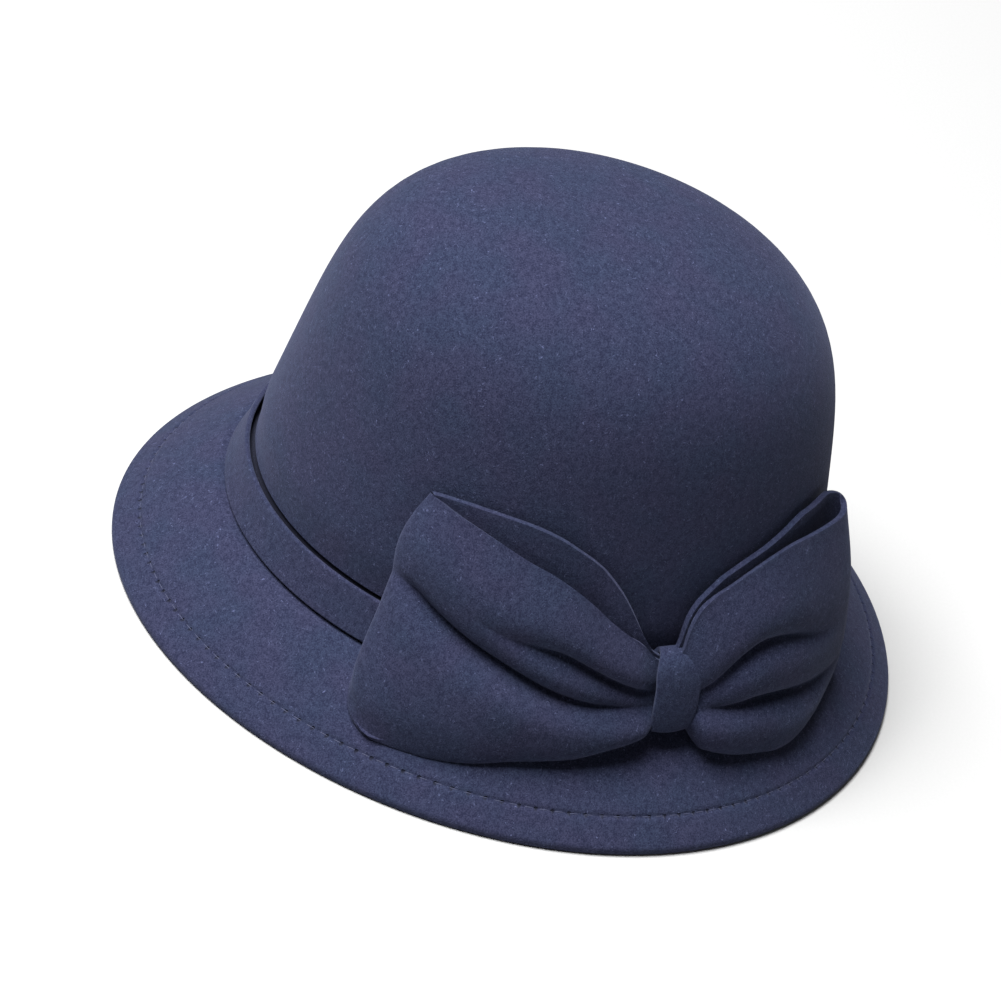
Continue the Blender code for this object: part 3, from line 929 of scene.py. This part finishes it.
@dataclass
class HatBand:
    """A flat strip of felt round the foot of the crown, its upper edge standing just clear.

    The rows give a share of the way down the band, how far the felt stands out there, and its
    share of the slack that the band has at the front of the hat.
    """

    form: HatForm
    felt: float = 1.8 * MM
    edge: float = 0.65 * MM
    segments: int = 192
    cut: Pair = (16.0 * MM, 600.0 * MM)
    loose: float = 1.2 * MM
    loose_turn: float = -0.35
    loose_power: int = 3
    rows: tuple[Triple, ...] = (
        (-0.04, 0.08 * MM, 1.0), (0.04, 0.12 * MM, 0.9), (0.2, 0.15 * MM, 0.65),
        (0.4, 0.12 * MM, 0.3), (0.6, 0.05 * MM, 0.08), (0.8, 0.0, 0.0), (1.0, 0.0, 0.0),
    )

    def build(self, finish: FeltFinish) -> Piece:
        """Models the band in its felt and dresses it."""
        body = FeltBody(self.form)
        rings = [body.cove_ring(share, self.felt / 2 - out) for share, out, _ in self.rows]
        piece = loft("hat_band", rings, self.segments, closed_end=False)
        mid_x, mid_y = self.form.middle()
        points = points_of(piece)
        turn = np.arctan2(points[:, 0] + mid_x, -(points[:, 1] + mid_y))
        slack = self.loose * ((1 + np.cos(turn - self.loose_turn)) / 2) ** self.loose_power
        slack = slack * np.repeat([share for _, _, share in self.rows], self.segments)
        push_out(points, turn, slack)
        move_points(piece, points)
        make_outward(piece)
        give_thickness(piece, self.felt, self.edge, offset=0.0, segments=5, sharp=50.0)
        give_finish(piece, finish, 60.0)
        return dress(piece, Node.BAND)


@dataclass(frozen=True)
class BowPlace:
    """Where the bow sits on the hat, in millimetres along its oval and above the rest surface."""

    form: HatForm
    knot_place: float = 180.0
    knot_height: float = 45.8
    lean: float = 0.2
    lean_fade: float = 30.0

    def point(self, side: Side | None, reach: Array, height: Array, stand: Array) -> Array:
        """Finds points of the bow.

        Args:
            side: the loop's side, or None for the knot, whose reach may be of either sign.
            reach: distances along the hat from the knot's middle.
            height: heights above the rest surface.
            stand: level distances from the hat.

        Returns:
            The points in metres.
        """
        sign = 1 if side is None else side.value
        fade = 1.0 if side is None else np.exp(-((reach / self.lean_fade) ** 2))
        lean = self.lean * (height - self.knot_height) * fade
        turn = self.form.turn_at(self.knot_place + sign * reach - lean)
        return self.form.lay(turn, height * MM, stand * MM)


COLUMNS = (
    "reach", "top", "rear_top", "low", "rear_low", "lip", "swell", "shoulder", "belly",
    "fold_a", "deep_a", "fold_b", "deep_b",
)


@dataclass
class BowLoop:
    """A strip of felt folded back on itself and gathered into creases at the knot.

    Each row of the table is a section across the loop, in millimetres: its reach from the knot's
    middle, the upper edges of the front and rear layers, the front layer's lowest point and the
    rear layer's lower edge, how far the front layer stands beyond the crown's oval at its lip,
    swell, shoulder and belly, and the height and depth of its upper and lower crease.
    """

    name: str
    node: Node
    side: Side
    place: BowPlace
    table: Sequence[Sequence[float]]
    fold_line: Sequence[Pair]
    roll: float
    cut: Pair
    felt: float = 2.0
    start: float = 0.4
    rear_stand: float = 2.3
    rear_stand_at_knot: float = 4.9
    rear_stand_ease: float = 22.0
    rear_stand_gain: float = 1.5
    rear_stand_on_brim: float = 5.0
    brim_ease: float = 0.3
    edge_stand: float = 2.8
    layers_apart: float = 2.5
    layers_softness: float = 0.6
    roll_height: float = 9.0
    roll_height_share: float = 0.5
    crease_above: float = 5.0
    crease_below: float = 2.6
    crease_tip: float = 0.5
    share_swell: float = 0.23
    share_fold_a: float = 0.36
    share_fold_b: float = 0.56
    share_shoulder: float = 0.60
    share_belly: float = 0.72
    share_free: float = 0.82
    front_end: float = 0.44
    fold_end: float = 0.57
    rows: int = 132
    columns: int = 104
    edge: float = 0.55 * MM
    section: dict[str, Array] = field(init=False)

    def __post_init__(self) -> None:
        """Splits the table into its named columns."""
        self.section = dict(zip(COLUMNS, np.array(self.table, float).T))

    def column(self, name: str, reach: Array) -> Array:
        """One column of the table, read smoothly at any reach."""
        return smooth_curve(reach, self.section["reach"], self.section[name])

    def above_brim(self, height: Array) -> Array:
        """Stand that keeps a layer's middle clear of the crown, and of the brim lower down."""
        foot = self.place.form.band_bottom / MM
        on_brim = np.clip((1 - height / foot) / self.brim_ease, 0.0, 1.0)
        return self.rear_stand + (self.rear_stand_on_brim - self.rear_stand) * on_brim

    def rear_layer(self, reach: Array, down: Array) -> tuple[Array, Array]:
        """Height and stand of the layer that lies against the hat."""
        top, low = self.column("rear_top", reach), self.column("rear_low", reach)
        height = top + (low - top) * down
        near = np.clip(self.rear_stand_gain * (1 - reach / self.rear_stand_ease), 0.0, 1.0)
        stand = self.rear_stand + (self.rear_stand_at_knot - self.rear_stand) * near
        return height, np.maximum(stand, self.above_brim(height))

    def front_layer(self, reach: Array, down: Array) -> tuple[Array, Array]:
        """Height and stand of the layer that shows, with its lobes and creases."""
        top, low = self.column("top", reach), self.column("low", reach)
        fold_a, fold_b = self.column("fold_a", reach), self.column("fold_b", reach)
        outs = ("lip", "swell", "shoulder", "belly")
        lip, swell, shoulder, belly = (self.column(key, reach) for key in outs)
        roll = np.minimum(self.roll_height, self.roll_height_share * (fold_b - low))
        marks = (0.0, self.share_fold_a, self.share_fold_b, self.share_belly)
        levels = (top, fold_a, fold_b, low + roll)
        height = sum(
            level * np.interp(down, marks, basis) for level, basis in zip(levels, np.eye(4))
        )
        sweep = self.place.form.softened_sweep
        end = self.edge_stand + sweep(low * MM) / MM
        between = (self.share_fold_a + self.share_fold_b) / 2
        mirrored = 2 * self.share_belly - self.share_shoulder
        places = (0.0, self.share_swell, between, self.share_shoulder, self.share_belly, mirrored)
        outs = (lip, swell, (swell + shoulder) / 2, shoulder, belly, shoulder)
        out = sum(
            value * smooth_curve(down, places, basis) for value, basis in zip(outs, np.eye(6))
        )
        turned = np.clip((down - self.share_belly) / (1 - self.share_belly), 0.0, 1.0)
        angle = turned * math.pi / 2
        rolled = down > self.share_belly
        height = np.where(rolled, low + roll * (1 - np.sin(angle)), height)
        out = np.where(rolled, end + (belly - end) * np.cos(angle), out)
        stand = out - sweep(height * MM) / MM
        stand = stand - self.column("deep_a", reach) * self.crease(height - fold_a)
        stand = stand - self.column("deep_b", reach) * self.crease(height - fold_b)
        floor = self.rear_layer(reach, down)[1] + self.layers_apart
        floor = floor * ease((1 - down) / (1 - self.share_free))
        return height, soft_max(stand, floor, self.layers_softness)

    def crease(self, distance: Array) -> Array:
        """Share of a crease's depth at a distance above its line: steep below, easy above."""
        softened = np.sqrt(distance**2 + self.crease_tip**2) - self.crease_tip
        return np.exp(-softened / np.where(distance > 0, self.crease_above, self.crease_below))

    def formed(self, along: Array, down: Array) -> Array:
        """Place of a point of the strip's outer face, from its shares along and across."""
        front = np.clip(along / self.front_end, 0.0, 1.0)
        rear = np.clip((1 - along) / (1 - self.fold_end), 0.0, 1.0)
        angle = np.clip((along - self.front_end) / (self.fold_end - self.front_end), 0.0, 1.0)
        angle = angle * math.pi
        share = np.where(along < self.front_end, front, np.where(along > self.fold_end, rear, 1.0))
        shares, reaches = np.array(self.fold_line).T
        limit = smooth_curve(down, shares, reaches)
        half = self.felt / 2
        reach = self.start + (limit - self.roll - self.start) * share
        reach = reach + (self.roll + half) * np.sin(angle)
        front_height, front_stand = self.front_layer(reach, down)
        rear_height, rear_stand = self.rear_layer(reach, down)
        blend = (1 + np.cos(angle)) / 2
        height = rear_height + (front_height - rear_height) * blend
        sweep = self.place.form.softened_sweep
        front_out = front_stand + half + sweep(front_height * MM) / MM
        rear_out = rear_stand - half + sweep(rear_height * MM) / MM
        out = rear_out + (front_out - rear_out) * blend
        return self.place.point(self.side, reach, height, out - sweep(height * MM) / MM)

    def build(self, finish: FeltFinish) -> Piece:
        """Models the loop in its felt and dresses it."""
        piece = felt_strip(self.name, self.rows, self.columns, self.formed)
        self.face_out(piece)
        give_thickness(piece, self.felt * MM, self.edge)
        give_finish(piece, finish, 70.0)
        return dress(piece, self.node)

    def face_out(self, piece: Piece) -> None:
        """Turns the strip's faces away from the loop's inside."""
        middle = points_of(piece).mean(axis=0)
        outward = sum(
            (Vector(face.center) - Vector(middle)).dot(face.normal) * face.area
            for face in piece.data.polygons
        )
        if outward < 0:
            with whole_mesh(piece):
                bpy.ops.mesh.flip_normals()


@dataclass
class BowKnot:
    """A short strip of felt wrapped round the middle of the bow, pinched at its top.

    The table gives half the strip's width at heights above the knot's middle, in millimetres.
    """

    place: BowPlace
    half_widths: tuple[Pair, ...] = (
        (-15.0, 4.4), (-11.5, 5.6), (-7.0, 6.5), (-2.0, 6.9), (3.0, 7.0), (8.0, 7.3), (13.0, 7.2),
    )
    cut: Pair = (15.0 * MM, 67.0 * MM)
    felt: float = 1.8
    half_height: float = 12.1
    drop: float = 2.3
    shift: float = 1.9
    skew: float = 0.35
    stand: float = 7.1
    half_depth: float = 5.9
    front_power: float = 2.4
    rear_power: float = 2.8
    bulge: float = 0.5
    around: int = 96
    across: int = 24
    edge: float = 0.5 * MM
    weld: float = 0.01 * MM

    def formed(self, along: Array, down: Array) -> Array:
        """Place of a point of the ring's outer face, from its shares round and across."""
        angle = along * FULL_TURN
        cosine, sine = np.cos(angle), np.sin(angle)
        power = np.where(cosine > 0, self.front_power, self.rear_power)
        depth = np.sign(cosine) * np.abs(cosine) ** (2 / power)
        rise = np.sign(sine) * np.abs(sine) ** (2 / power)
        half = self.felt / 2
        side = (down - 0.5) * 2
        swell = self.bulge * (1 - side**2)
        above = (self.half_height + half + swell) * rise
        stand = self.stand + (self.half_depth + half + np.where(cosine > 0, swell, 0.0)) * depth
        levels, widths = np.array(self.half_widths).T
        reach = side * smooth_curve(above, levels, widths)
        upright = self.place.lean * (above - self.drop)
        height = self.place.knot_height - self.drop + above
        behind = self.stand + self.half_depth - stand
        skewed = self.skew * np.clip(rise, 0.0, 1.0) * np.maximum(behind, 0.0)
        return self.place.point(None, reach + self.shift + upright + skewed, height, stand)

    def build(self, finish: FeltFinish) -> Piece:
        """Models the knot in its felt and dresses it."""
        piece = felt_strip("knot_strip", self.around, self.across, self.formed)
        with whole_mesh(piece):
            bpy.ops.mesh.remove_doubles(threshold=self.weld)
            bpy.ops.mesh.normals_make_consistent(inside=False)
        give_thickness(piece, self.felt * MM, self.edge)
        give_finish(piece, finish, 70.0)
        return dress(piece, Node.KNOT)


@dataclass
class BrimStitches:
    """The row of machine stitches that holds the brim's turned edge."""

    body: FeltBody
    pitch: ClassVar[float] = 5.0 * MM
    visible: float = 0.78
    thread: float = 0.16 * MM
    dip: float = 0.35 * MM
    look_ahead: float = 0.01

    @classmethod
    def count(cls, body: FeltBody) -> int:
        """How many whole stitches go round the brim."""
        return round(running_length(body.seam_line())[-1] / cls.pitch)

    def one_stitch(self, length: float) -> Piece:
        """Models a single stitch lying along X: a thread whose ends dip into the felt."""
        deselect()
        bpy.ops.mesh.primitive_uv_sphere_add(segments=8, ring_count=9, radius=1.0)
        stitch = bpy.context.object
        middle = {"center_override": (0, 0, 0)}
        with whole_mesh(stitch):
            bpy.ops.transform.rotate(value=math.pi / 2, orient_axis="Y", **middle)
            bpy.ops.transform.resize(value=(length / 2, self.thread, self.thread), **middle)
        points = points_of(stitch)
        points[:, 2] -= self.dip * (2 * points[:, 0] / length) ** 4
        move_points(stitch, points)
        return stitch

    def build(self, finish: ThreadFinish) -> Piece:
        """Models one stitch in its thread, copies it round the brim and dresses the row."""
        line = self.body.seam_line()
        arc = running_length(line)
        number = self.count(self.body)
        pitch = arc[-1] / number
        turn = np.linspace(0.0, FULL_TURN, len(line))
        marks = np.interp((np.arange(number) + 0.5) * pitch, arc, turn)
        template = self.one_stitch(pitch * self.visible)
        copies = [self.place_copy(template, line, mark) for mark in marks]
        bpy.data.objects.remove(template, do_unlink=True)
        choose(copies[0])
        for copy in copies:
            copy.select_set(True)
        bpy.ops.object.join()
        piece = just_made("brim_stitches")
        give_finish(piece, finish, 80.0)
        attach(piece, ROOT)
        return piece

    def place_copy(self, template: Piece, line: Array, mark: float) -> Piece:
        """Copies the stitch to one place on the seam.

        Args:
            template: the single stitch, along X at the origin.
            line: points of the seam, spread evenly over one turn.
            mark: the turn of this stitch's middle.

        Returns:
            The copy, with its place in its mesh.
        """
        turn = np.linspace(0.0, FULL_TURN, len(line))
        here, ahead = (
            Vector([np.interp(place, turn, line[:, axis]) for axis in range(3)])
            for place in (mark, mark + self.look_ahead)
        )
        angle = self.body.slope().angle
        along = (ahead - here).normalized()
        outward = along.cross(UP).normalized()
        normal = (outward * math.sin(angle) + UP * math.cos(angle)).normalized()
        across = normal.cross(along).normalized()
        matrix = Matrix((along, across, normal)).transposed().to_4x4()
        matrix.translation = here
        copy = template.copy()
        copy.data = template.data.copy()
        copy.data.transform(matrix)
        bpy.context.scene.collection.objects.link(copy)
        return copy


FRONT_LOOP = (
    (0.0, 53.6, 53.4, 35.0, 36.0, 7.4, 10.0, 11.4, 12.0, 42.6, 1.0, 38.8, 1.2),
    (3.0, 55.2, 55.2, 33.0, 35.8, 7.4, 10.4, 12.2, 12.8, 43.0, 2.0, 38.8, 2.0),
    (6.0, 58.8, 60.6, 30.6, 35.4, 7.2, 12.0, 14.2, 14.8, 43.4, 3.4, 38.8, 3.2),
    (8.5, 60.8, 66.4, 28.4, 34.5, 7.0, 13.8, 16.4, 17.2, 43.9, 4.8, 38.8, 4.4),
    (12.0, 62.7, 72.6, 26.6, 33.0, 6.8, 15.0, 17.8, 18.4, 45.0, 6.0, 38.8, 5.6),
    (18.0, 66.5, 79.0, 24.45, 31.0, 6.4, 15.8, 19.0, 19.8, 47.4, 7.4, 39.0, 7.2),
    (26.0, 72.1, 83.8, 21.45, 29.0, 6.2, 16.0, 20.8, 21.2, 51.2, 8.4, 39.8, 8.8),
    (34.0, 76.5, 87.0, 19.85, 27.5, 6.2, 16.0, 21.6, 22.2, 54.8, 8.0, 41.4, 10.0),
    (42.0, 79.7, 89.6, 18.35, 26.5, 6.0, 15.8, 22.2, 23.0, 57.2, 5.6, 44.0, 11.0),
    (52.0, 82.5, 91.4, 15.75, 27.0, 6.0, 15.2, 22.2, 24.8, 59.4, 2.4, 47.6, 11.4),
    (62.0, 85.5, 91.8, 14.15, 28.0, 5.8, 14.2, 21.2, 25.6, 62.6, 0.4, 50.9, 11.0),
    (74.0, 88.2, 91.4, 13.15, 28.5, 5.4, 12.6, 19.2, 26.0, 67.0, 0.0, 55.9, 9.6),
    (82.0, 89.5, 90.8, 11.6, 28.5, 5.2, 11.2, 17.2, 25.8, 70.0, 0.0, 60.0, 7.4),
    (88.0, 90.0, 90.5, 11.2, 28.5, 5.0, 9.8, 15.6, 25.6, 72.4, 0.0, 63.4, 3.0),
    (95.0, 90.3, 90.4, 11.0, 28.5, 5.0, 8.4, 14.2, 25.4, 74.4, 0.0, 66.0, 0.0),
)
BACK_LOOP = (
    (0.0, 53.6, 53.4, 35.0, 36.0, 7.6, 10.0, 11.4, 12.0, 42.6, 1.0, 38.6, 1.0),
    (6.0, 57.4, 57.4, 29.4, 35.5, 7.2, 10.8, 14.0, 14.6, 43.0, 1.8, 38.8, 2.4),
    (8.5, 64.4, 65.0, 24.3, 34.5, 6.8, 12.8, 18.4, 19.0, 43.6, 2.6, 38.8, 4.0),
    (12.0, 70.8, 70.8, 22.5, 33.0, 6.2, 13.8, 19.8, 20.4, 45.4, 3.4, 38.6, 5.4),
    (17.0, 75.2, 75.2, 21.0, 31.0, 5.6, 14.4, 20.6, 21.2, 49.0, 4.8, 38.2, 6.6),
    (23.0, 78.4, 79.2, 19.8, 29.5, 5.2, 14.8, 21.0, 21.6, 53.8, 6.2, 38.2, 7.2),
    (30.0, 82.0, 83.0, 18.9, 28.5, 5.0, 14.8, 20.8, 22.0, 57.4, 6.8, 38.2, 7.4),
    (38.0, 85.3, 86.2, 17.8, 28.0, 5.2, 14.8, 20.8, 22.8, 58.0, 6.4, 37.4, 7.0),
    (46.0, 87.4, 89.4, 18.1, 27.6, 5.8, 14.6, 20.4, 22.4, 56.4, 5.0, 36.2, 5.8),
    (54.0, 88.0, 92.2, 20.0, 27.2, 6.8, 14.4, 19.4, 20.8, 54.0, 2.6, 34.8, 4.2),
    (62.0, 88.2, 92.3, 22.7, 27.6, 8.0, 14.4, 17.8, 18.6, 52.6, 0.6, 34.6, 2.0),
    (70.0, 88.0, 92.0, 25.0, 28.6, 9.0, 14.4, 16.4, 16.8, 52.0, 0.0, 35.0, 0.5),
    (80.0, 87.6, 90.6, 27.6, 30.4, 9.4, 14.4, 15.2, 15.4, 52.0, 0.0, 36.4, 0.0),
)
FRONT_FOLD = (
    (0.0, 88.6), (0.15, 91.2), (0.35, 92.4), (0.55, 90.6), (0.75, 89.0), (0.88, 88.0), (1.0, 84.0),
)
BACK_FOLD = (
    (0.0, 79.8), (0.15, 78.8), (0.35, 77.6), (0.50, 79.0), (0.62, 80.0), (0.78, 77.0), (1.0, 66.0),
)


@dataclass(frozen=True)
class SoftLight:
    """One large square softbox."""

    name: str
    place: Triple
    side: float
    watts: float
    colour: str = "#ffffff"


@dataclass
class Studio:
    """A plain pale floor, soft lights and the camera."""

    form: HatForm
    azimuth: float = 75.0
    elevation: float = 37.103
    roll: float = 20.356
    distance: float = 1.4246
    focal_px: float = 4312.6
    image_px: float = 1001.0
    middle_px: Pair = (559.558, 436.171)
    aim_height: float = 0.07
    sensor_mm: float = 36.0
    clip: Pair = (0.05, 50.0)
    floor_side: float = 12.0
    paper: tuple[str, str] = ("#a6a6a6", "#aaaaaa")
    paper_tooth_mm: float = 1 / 0.9
    world_strength: float = 0.10
    lights: tuple[SoftLight, ...] = (
        SoftLight("overhead_softbox", (0.1, -1.1, 2.6), 1.6, 260.0),
    )

    def axes(self) -> tuple[Vector, Vector, Vector]:
        """The camera's right, up and backward directions."""
        azimuth, elevation = math.radians(self.azimuth), math.radians(self.elevation)
        roll = math.radians(self.roll)
        back = Vector(
            (
                math.sin(azimuth) * math.cos(elevation),
                -math.cos(azimuth) * math.cos(elevation),
                math.sin(elevation),
            )
        )
        level_right = (-back).cross(UP).normalized()
        level_up = level_right.cross(-back)
        right = math.cos(roll) * level_right + math.sin(roll) * level_up
        up = -math.sin(roll) * level_right + math.cos(roll) * level_up
        return right, up, back

    def camera(self) -> Piece:
        """Places the camera at the photographed angle, with no shift and no depth of field."""
        right, up, back = self.axes()
        offset_x, offset_y = (
            (px - self.image_px / 2) * self.distance / self.focal_px for px in self.middle_px
        )
        aim = Vector(self.form.middle_at(self.aim_height))
        data = bpy.data.cameras.new("photo_angle")
        data.sensor_fit = "HORIZONTAL"
        data.sensor_width = self.sensor_mm
        data.lens = self.focal_px * self.sensor_mm / self.image_px
        data.clip_start, data.clip_end = self.clip
        data.dof.use_dof = False
        matrix = Matrix((right, up, back)).transposed().to_4x4()
        matrix.translation = aim + back * self.distance - right * offset_x + up * offset_y
        camera = in_scene("photo_angle", data)
        camera.matrix_world = matrix
        bpy.context.scene.camera = camera
        return camera

    def light(self, light: SoftLight) -> Piece:
        """Hangs one softbox, turned towards the hat."""
        data = bpy.data.lights.new(light.name, "AREA")
        data.shape = "SQUARE"
        data.size = light.side
        data.energy = light.watts
        data.color = linear(light.colour)[:3]
        lamp = in_scene(light.name, data)
        lamp.location = light.place
        towards = Vector((0, 0, self.aim_height)) - Vector(light.place)
        lamp.rotation_euler = towards.to_track_quat("-Z", "Y").to_euler()
        return lamp

    def floor(self) -> Piece:
        """Lays a seamless white paper floor under the hat."""
        deselect()
        bpy.ops.mesh.primitive_plane_add(size=self.floor_side)
        floor = just_made("paper_floor")
        nodes = Shading("matt_white_paper")
        tooth = nodes.noise(self.paper_tooth_mm, 2.0)
        colour = nodes.mix(tooth, *(linear(tone) for tone in self.paper))
        paper = nodes.shade({"Base Color": colour, "Roughness": 1.0, "Specular IOR Level": 0.0})
        floor.data.materials.append(paper)
        return floor

    def build(self) -> None:
        """Sets up the whole studio."""
        world = bpy.data.worlds.new("studio")
        world.use_nodes = True
        background = world.node_tree.nodes["Background"]
        links = {"Color": linear("#ffffff"), "Strength": self.world_strength}
        feed(world.node_tree, background, links)
        bpy.context.scene.world = world
        bpy.context.scene.view_settings.view_transform = "Standard"
        for light in self.lights:
            self.light(light)
        self.floor()
        self.camera()


def main() -> None:
    """Builds every piece round the frame, in order."""
    logging.basicConfig(level=logging.INFO, format="%(name)s: %(message)s")
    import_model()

    form = HatForm()
    body_finish = FeltFinish("blocked_wool_felt", sewn=True)
    trim_finish = FeltFinish("cut_wool_felt")
    bow_finish = FeltFinish("brushed_wool_felt", fibre_share=0.4, nap_height_mm=0.22)

    body = FeltBody(form)
    place = BowPlace(form)
    pieces = [
        body.build(body_finish),
        HatBand(form).build(trim_finish),
        BowLoop(
            "bow_front_loop", Node.LOOP_FRONT, Side.FRONT, place, FRONT_LOOP, FRONT_FOLD,
            roll=13.0, cut=(80.0 * MM, 210.0 * MM),
        ).build(bow_finish),
        BowLoop(
            "bow_back_loop", Node.LOOP_BACK, Side.BACK, place, BACK_LOOP, BACK_FOLD,
            roll=9.0, cut=(75.0 * MM, 190.0 * MM),
        ).build(bow_finish),
        BowKnot(place).build(bow_finish),
        BrimStitches(body).build(ThreadFinish()),
    ]
    for piece in pieces:
        LOG.info("%s: %d faces", piece.name, len(piece.data.polygons))
    Studio(form).build()


if __name__ == "__main__":
    main()
